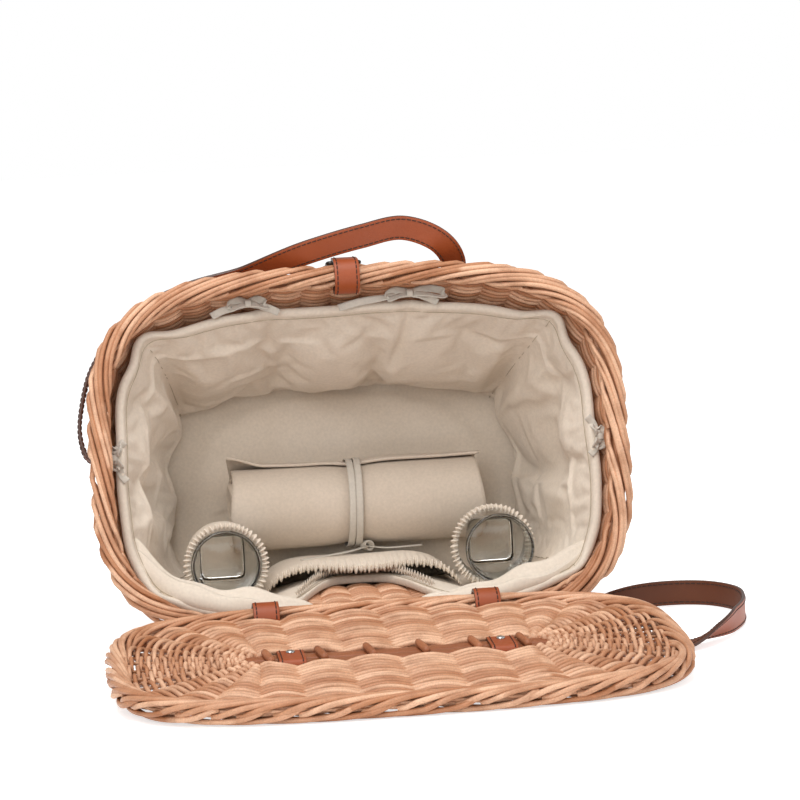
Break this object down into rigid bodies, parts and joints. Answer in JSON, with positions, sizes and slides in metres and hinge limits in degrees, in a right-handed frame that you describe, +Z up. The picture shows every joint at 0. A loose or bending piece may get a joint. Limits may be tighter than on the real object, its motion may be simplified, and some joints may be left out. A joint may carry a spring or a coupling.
{
  "type": "picnic basket",
  "caption": "Oval willow picnic basket lying open on its hinge side, with leather straps, a cotton lining, tumblers in elastic sleeves and a tied cloth roll.",
  "frame": {"origin": "middle of the underside of the whole object as it lies on a table", "axes": "+X along the hinge to the right of the open basket, +Y from the lid towards the basket's base, +Z up"},
  "size_m": [0.517, 0.5558, 0.3285],
  "materials": {
    "willow": "satin",
    "willow_core": "satin",
    "lining": "matte",
    "tape": "matte",
    "leather": "satin",
    "gunmetal": "satin",
    "rivet": "polished",
    "glass": "clear"
  },
  "bodies": {
    "basket": {"base_panel": "willow", "foot_border": "willow", "side_wall": "willow", "rim_border": "willow", "lining": "lining", "wide_pocket": "lining", "sleeve_left": "lining", "sleeve_right": "lining", "tie_front_left": "tape", "tie_front_right": "tape", "tie_left": "tape", "tie_right": "tape", "hinge_loop_left": "leather", "hinge_loop_right": "leather", "closing_strap": "leather", "front_handle": "leather", "rear_handle": "leather", "front_rivet_left": "rivet", "front_rivet_right": "rivet", "rear_rivet_left": "rivet", "rear_rivet_right": "rivet"},
    "lid": {"lid_border": "willow", "lid_panel": "willow", "lid_lath_near": "willow_core", "lid_lath_far": "willow_core", "lid_rung_1": "willow_core", "lid_rung_2": "willow_core", "lid_rung_3": "willow_core", "lid_rung_4": "willow_core", "lid_rung_5": "willow_core", "lid_rung_6": "willow_core", "lid_tab_left": "leather", "lid_tab_right": "leather", "lid_strap_left": "leather", "lid_strap_right": "leather", "tab_rivet_left": "rivet", "tab_rivet_right": "rivet"},
    "buckle": {"buckle_frame": "gunmetal"},
    "prong": {"buckle_prong": "gunmetal"},
    "roller": {"buckle_roller": "gunmetal"},
    "tumbler_left_body": {"tumbler_left": "glass"},
    "tumbler_right_body": {"tumbler_right": "glass"},
    "roll": {"cloth_roll": "lining", "roll_ribbon": "tape"}
  },
  "joints": [
    {"name": "lid_hinge", "type": "hinge", "parent": "basket", "child": "lid", "pos_m": [-0.038, 0.00183, 0.02755], "axis": [1, 0, 0], "range_deg": [-109.2, 0]},
    {"name": "buckle_swing", "type": "hinge", "parent": "basket", "child": "buckle", "pos_m": [-0.04, 0.10893, 0.29314], "axis": [1, 0, 0], "range_deg": [0, 35]},
    {"name": "prong_swing", "type": "hinge", "parent": "buckle", "child": "prong", "pos_m": [-0.04, 0.10893, 0.29314], "axis": [1, 0, 0], "range_deg": [0, 15]},
    {"name": "roller_spin", "type": "hinge", "parent": "buckle", "child": "roller", "pos_m": [-0.04, 0.12706, 0.28814], "axis": [1, 0, 0], "continuous": true},
    {"name": "tumbler_left_slide", "type": "slide", "parent": "basket", "child": "tumbler_left_body", "axis": [0, -0.9998, 0.0178], "range_m": [0, 0.055]},
    {"name": "tumbler_right_slide", "type": "slide", "parent": "basket", "child": "tumbler_right_body", "axis": [0, -0.9998, 0.0178], "range_m": [0, 0.055]},
    {"name": "roll_slide", "type": "slide", "parent": "basket", "child": "roll", "axis": [0, -0.7018, 0.7124], "range_m": [0, 0.22]}
  ]
}
